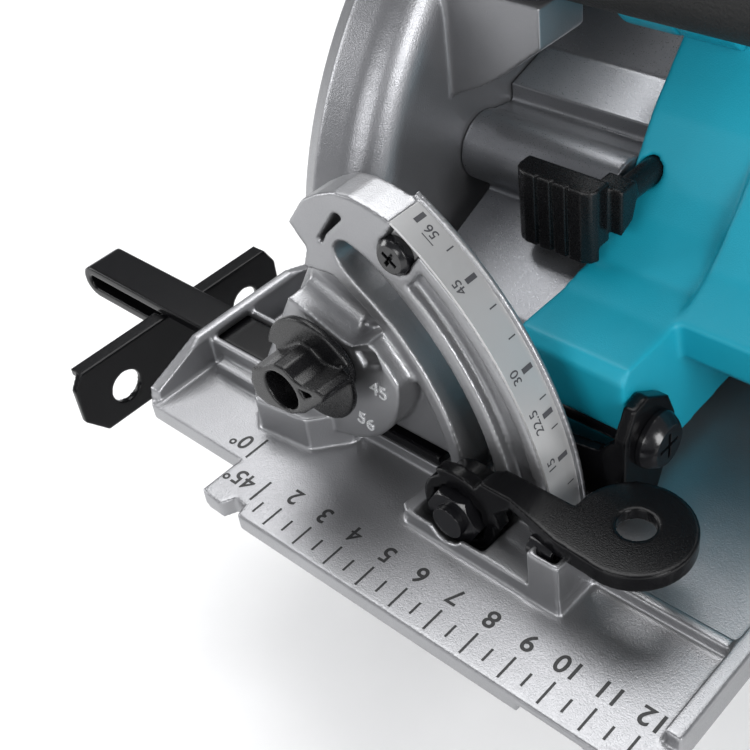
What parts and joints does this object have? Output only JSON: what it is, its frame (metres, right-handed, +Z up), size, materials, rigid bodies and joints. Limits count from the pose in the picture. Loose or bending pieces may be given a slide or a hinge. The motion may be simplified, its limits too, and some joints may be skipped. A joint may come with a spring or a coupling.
{
  "type": "hand-held circular saw",
  "caption": "Cordless circular saw with a bevel quadrant, positive stop dial, swinging depth guide, swinging lower guard and a sliding rip fence.",
  "frame": {"origin": "on the sole, where the 0 degree kerf line meets the front edge of the base", "axes": "+X towards the motor side, +Y towards the rear (battery), +Z up, sole at z = 0"},
  "size_m": [0.2632, 0.308, 0.2577],
  "materials": {
    "cast_alloy": "fine blasted cast alloy",
    "scale_metal": "brushed scale plate",
    "black_steel": "satin black coated pressed steel",
    "screw_black": "black oxide screw",
    "bare_steel": "machined steel",
    "blade_steel": "ground blade steel",
    "teal_plastic": "satin moulded shell",
    "black_plastic": "fine textured moulded plastic",
    "grip_rubber": "soft overmould",
    "copper_winding": "enamelled winding and core",
    "board_green": "coated circuit board",
    "cell_wrap": "shrink wrap",
    "red_button": "moulded button"
  },
  "bodies": {
    "base": {"base_casting": "cast_alloy", "scale_plate": "scale_metal", "scale_screw": "screw_black", "stop_set_screw": "screw_black", "bevel_pivot_pins": "bare_steel"},
    "stop_dial": {"stop_knob": "black_plastic", "stop_shaft": "bare_steel"},
    "rip_fence": {"fence_bar": "black_steel", "fence_face": "black_steel"},
    "clamp_screw": {"fence_clamp_screw": "screw_black"},
    "tilt_frame": {"front_tilt_bracket": "black_steel", "rear_tilt_bracket": "black_steel", "depth_guide": "bare_steel", "guide_rivets": "bare_steel", "lock_bolt": "screw_black", "lock_washer": "black_steel", "hinge_bolt": "screw_black", "hinge_clip": "bare_steel"},
    "bevel_lock": {"bevel_lever": "black_steel", "lock_nut": "screw_black"},
    "saw_head": {"blade_case": "cast_alloy", "case_screws": "screw_black", "gear_case": "cast_alloy", "gear_cover": "cast_alloy", "motor_housing": "teal_plastic", "motor_end_cap": "black_plastic", "end_cap_screws": "screw_black", "stator": "copper_winding", "spindle_bearings": "bare_steel", "motor_bearings": "bare_steel", "guard_retainer": "bare_steel", "guard_spring": "bare_steel", "handle_left": "teal_plastic", "handle_right": "teal_plastic", "handle_screws": "screw_black", "handle_grip": "grip_rubber", "trigger_switch": "black_plastic", "controller_board": "board_green", "terminal_block": "black_plastic", "front_handle": "grip_rubber", "depth_lock_bolt": "screw_black", "dust_nozzle": "black_plastic"},
    "depth_lock": {"depth_lever": "black_plastic"},
    "guard": {"lower_guard": "bare_steel", "guard_lever": "black_plastic"},
    "spindle_group": {"spindle": "bare_steel", "driven_gear": "bare_steel", "inner_flange": "bare_steel", "outer_flange": "bare_steel", "blade_bolt": "screw_black", "saw_blade": "blade_steel"},
    "rotor": {"rotor_shaft": "bare_steel", "rotor_core": "bare_steel", "cooling_fan": "black_plastic"},
    "trigger_body": {"trigger": "black_plastic"},
    "lock_off": {"lock_off_button": "black_plastic"},
    "battery": {"battery_case": "black_plastic", "battery_cells": "cell_wrap"},
    "battery_button": {"battery_latch": "red_button"},
    "shaft_lock": {"shaft_lock_lever": "black_plastic"}
  },
  "joints": [
    {"name": "bevel_tilt", "type": "hinge", "parent": "base", "child": "tilt_frame", "pos_m": [-0.0058, 0.045, 0.005], "axis": [0, -1, 0], "range_deg": [0, 56]},
    {"name": "depth_swing", "type": "hinge", "parent": "tilt_frame", "child": "saw_head", "pos_m": [0.05, 0.06, 0.024], "axis": [1, 0, 0], "range_deg": [0, 22]},
    {"name": "bevel_lock_turn", "type": "hinge", "parent": "tilt_frame", "child": "bevel_lock", "pos_m": [0.05887, 0.028, 0.0115], "axis": [0, -1, 0], "range_deg": [0, 20]},
    {"name": "stop_dial_turn", "type": "hinge", "parent": "base", "child": "stop_dial", "pos_m": [0.02, 0.027, 0.035], "axis": [0, -1, 0], "range_deg": [-60, 60]},
    {"name": "fence_slide", "type": "slide", "parent": "base", "child": "rip_fence", "axis": [1, 0, 0], "range_m": [-0.055, 0.008]},
    {"name": "clamp_screw_turn", "type": "hinge", "parent": "base", "child": "clamp_screw", "pos_m": [-0.024, 0.0425, 0.003], "axis": [0, 0, 1], "range_deg": [0, 90]},
    {"name": "depth_lock_turn", "type": "hinge", "parent": "saw_head", "child": "depth_lock", "pos_m": [0.023, 0.24954, 0.03725], "axis": [1, 0, 0], "range_deg": [0, 40]},
    {"name": "guard_swing", "type": "hinge", "parent": "saw_head", "child": "guard", "pos_m": [0.0063, 0.158, 0.026], "axis": [1, 0, 0], "range_deg": [0, 105]},
    {"name": "blade_spin", "type": "hinge", "parent": "saw_head", "child": "spindle_group", "pos_m": [0.02, 0.158, 0.026], "axis": [1, 0, 0], "continuous": true},
    {"name": "rotor_spin", "type": "hinge", "parent": "saw_head", "child": "rotor", "pos_m": [0.1, 0.152, 0.0513], "axis": [1, 0, 0], "continuous": true},
    {"name": "trigger_squeeze", "type": "slide", "parent": "saw_head", "child": "trigger_body", "axis": [0, 0, 1], "range_m": [0, 0.005]},
    {"name": "lock_off_press", "type": "slide", "parent": "saw_head", "child": "lock_off", "axis": [1, 0, 0], "range_m": [0, 0.004]},
    {"name": "battery_slide", "type": "slide", "parent": "saw_head", "child": "battery", "axis": [0, 1, 0], "range_m": [0, 0.09]},
    {"name": "battery_button_press", "type": "slide", "parent": "battery", "child": "battery_button", "axis": [0, 0, -1], "range_m": [0, 0.004]},
    {"name": "shaft_lock_press", "type": "slide", "parent": "saw_head", "child": "shaft_lock", "axis": [0, 1, 0], "range_m": [0, 0.004]}
  ],
  "couplings": [
    {"joint": "rotor_spin", "follows": "blade_spin", "ratio": -3.3333}
  ]
}
